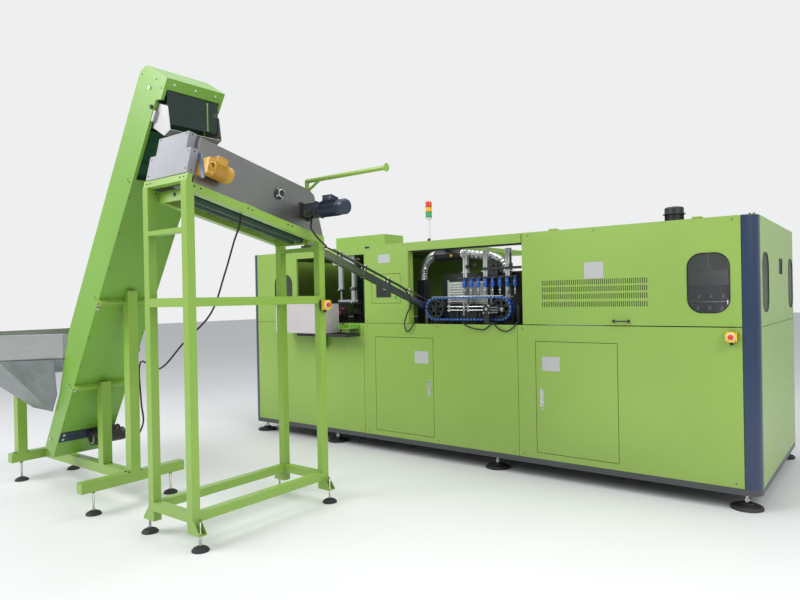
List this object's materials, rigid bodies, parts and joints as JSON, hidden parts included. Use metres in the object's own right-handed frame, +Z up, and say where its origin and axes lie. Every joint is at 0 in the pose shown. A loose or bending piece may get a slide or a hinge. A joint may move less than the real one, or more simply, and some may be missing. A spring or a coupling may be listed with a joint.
{
  "type": "blow moulding machine",
  "caption": "Bottle blow moulding line: long green cabinet with navy corner posts, doors, windows and oven opening, a preform unscrambler on a tall stand, and an inclined elevator with a hopper",
  "frame": {"origin": "centre of the bounding box at floor level", "axes": "+X along the cabinet towards its right end, +Y from the feeder towards the cabinet, +Z up"},
  "size_m": [6.055, 5.131, 3.2874],
  "materials": {
    "lime_paint": "gloss powder coat",
    "navy_paint": "gloss enamel",
    "dark_base": "satin enamel",
    "stainless": "brushed",
    "galvanised": "mill finish",
    "bright_steel": "polished",
    "aluminium": "anodised",
    "black_metal": "satin enamel",
    "black_rubber": "matt",
    "belt_green": "matt",
    "yellow_paint": "gloss enamel",
    "yellow_plastic": "moulded",
    "red_plastic": "moulded",
    "green_plastic": "moulded",
    "blue_plastic": "moulded",
    "black_plastic": "moulded",
    "clear_pane": "clear acrylic",
    "lamp_plastic": "translucent"
  },
  "bodies": {
    "machine": {"base_frame": "dark_base", "machine_feet": "black_rubber", "body_frame": "lime_paint", "corner_posts": "navy_paint", "front_panels": "lime_paint", "end_panels": "lime_paint", "rear_panels": "lime_paint", "roof_panels": "lime_paint", "window_glazing": "clear_pane", "estop_boxes": "yellow_plastic", "tower_pole": "aluminium", "tower_lamps": "lamp_plastic", "roof_fan": "black_metal", "machine_bed": "black_metal", "oven_frame": "black_metal", "oven_chain": "blue_plastic", "oven_drives": "black_metal", "air_duct": "galvanised", "blow_frame": "aluminium", "transfer_unit": "aluminium", "reject_boxes": "galvanised", "stand_frame": "lime_paint", "trough": "stainless", "end_guards": "galvanised", "roller_motor": "yellow_paint", "kicker_motor": "navy_paint", "pipe_arm": "lime_paint", "chute_rail": "stainless", "elevator_casing": "lime_paint", "elevator_base": "lime_paint", "elevator_window": "clear_pane", "cleated_belt": "belt_green", "elevator_motor": "black_metal", "discharge_chute": "stainless", "hopper": "stainless", "cables": "black_rubber"},
    "left_door": {"left_door": "lime_paint"},
    "left_lock": {"left_lock": "bright_steel"},
    "right_door": {"right_door": "lime_paint"},
    "right_lock": {"right_lock": "bright_steel"},
    "lift_door": {"lift_door": "lime_paint", "lift_handle": "black_metal", "lift_glazing": "clear_pane"},
    "control_door": {"control_door": "lime_paint", "touch_screen": "black_plastic"},
    "start_button": {"start_button": "green_plastic"},
    "stop_button": {"stop_button": "red_plastic"},
    "estop_button": {"estop_button": "red_plastic"},
    "stand_estop_button": {"stand_estop_button": "red_plastic"},
    "front_roller": {"front_roller": "black_rubber"},
    "rear_roller": {"rear_roller": "black_rubber"},
    "kicker_wheel": {"kicker_wheel": "black_metal"},
    "head_drum": {"head_drum": "bright_steel"},
    "tail_drum": {"tail_drum": "bright_steel"},
    "drive_wheel": {"drive_wheel": "black_metal"},
    "idle_wheel": {"idle_wheel": "black_metal"},
    "takeout_wheel": {"takeout_wheel": "black_metal"},
    "mould_front": {"mould_front": "aluminium"},
    "mould_rear": {"mould_rear": "aluminium"},
    "stretch_unit": {"stretch_unit": "aluminium"}
  },
  "joints": [
    {"name": "left_door_hinge", "type": "hinge", "parent": "machine", "child": "left_door", "pos_m": [-0.5485, 0.514, 0.7], "axis": [0, 0, -1], "range_deg": [0, 110]},
    {"name": "right_door_hinge", "type": "hinge", "parent": "machine", "child": "right_door", "pos_m": [1.9935, 0.514, 0.7], "axis": [0, 0, 1], "range_deg": [0, 110]},
    {"name": "left_lock_pin", "type": "hinge", "parent": "left_door", "child": "left_lock", "pos_m": [0.1245, 0.511, 0.772], "axis": [-1, 0, 0], "range_deg": [0, 55]},
    {"name": "right_lock_pin", "type": "hinge", "parent": "right_door", "child": "right_lock", "pos_m": [1.3345, 0.511, 0.772], "axis": [-1, 0, 0], "range_deg": [0, 55]},
    {"name": "lift_door_hinge", "type": "hinge", "parent": "machine", "child": "lift_door", "pos_m": [2.0425, 0.509, 2.179], "axis": [-1, 0, 0], "range_deg": [0, 75]},
    {"name": "control_door_hinge", "type": "hinge", "parent": "machine", "child": "control_door", "pos_m": [-0.5855, 0.514, 1.7], "axis": [0, 0, -1], "range_deg": [0, 110]},
    {"name": "start_press", "type": "slide", "parent": "control_door", "child": "start_button", "axis": [0, 1, 0], "range_m": [0, 0.003], "stiffness_N_per_m": 400},
    {"name": "stop_press", "type": "slide", "parent": "control_door", "child": "stop_button", "axis": [0, 1, 0], "range_m": [0, 0.003], "stiffness_N_per_m": 400},
    {"name": "estop_press", "type": "slide", "parent": "machine", "child": "estop_button", "axis": [0, 1, 0], "range_m": [0, 0.005], "stiffness_N_per_m": 800},
    {"name": "stand_estop_press", "type": "slide", "parent": "machine", "child": "stand_estop_button", "axis": [-1, 0, 0], "range_m": [0, 0.005], "stiffness_N_per_m": 800},
    {"name": "front_roller_spin", "type": "hinge", "parent": "machine", "child": "front_roller", "pos_m": [0.0315, -1.68938, 2.22905], "axis": [0, 0.9744, -0.225], "continuous": true},
    {"name": "rear_roller_spin", "type": "hinge", "parent": "machine", "child": "rear_roller", "pos_m": [-0.0665, -1.68938, 2.22905], "axis": [0, 0.9744, -0.225], "continuous": true},
    {"name": "kicker_spin", "type": "hinge", "parent": "machine", "child": "kicker_wheel", "pos_m": [-0.0675, -1.2078, 2.29234], "axis": [1, 0, 0], "continuous": true},
    {"name": "head_drum_spin", "type": "hinge", "parent": "machine", "child": "head_drum", "pos_m": [-0.33293, -1.945, 3.12369], "axis": [0, 1, 0], "continuous": true},
    {"name": "tail_drum_spin", "type": "hinge", "parent": "machine", "child": "tail_drum", "pos_m": [-1.95876, -1.945, 0.45492], "axis": [0, 1, 0], "continuous": true},
    {"name": "drive_wheel_spin", "type": "hinge", "parent": "machine", "child": "drive_wheel", "pos_m": [0.8745, 0.655, 1.493], "axis": [0, 1, 0], "continuous": true},
    {"name": "idle_wheel_spin", "type": "hinge", "parent": "machine", "child": "idle_wheel", "pos_m": [0.1345, 0.655, 1.493], "axis": [0, 1, 0], "continuous": true},
    {"name": "takeout_wheel_spin", "type": "hinge", "parent": "machine", "child": "takeout_wheel", "pos_m": [-1.2175, 0.975, 1.4], "axis": [0, 0, 1], "continuous": true},
    {"name": "front_mould_slide", "type": "slide", "parent": "machine", "child": "mould_front", "axis": [0, 1, 0], "range_m": [0, 0.0898]},
    {"name": "rear_mould_slide", "type": "slide", "parent": "machine", "child": "mould_rear", "axis": [0, -1, 0], "range_m": [0, 0.0898]},
    {"name": "stretch_slide", "type": "slide", "parent": "machine", "child": "stretch_unit", "axis": [0, 0, -1], "range_m": [0, 0.16]}
  ],
  "couplings": [
    {"joint": "rear_roller_spin", "follows": "front_roller_spin", "ratio": -1},
    {"joint": "tail_drum_spin", "follows": "head_drum_spin", "ratio": 1},
    {"joint": "idle_wheel_spin", "follows": "drive_wheel_spin", "ratio": 1},
    {"joint": "rear_mould_slide", "follows": "front_mould_slide", "ratio": 1}
  ]
}
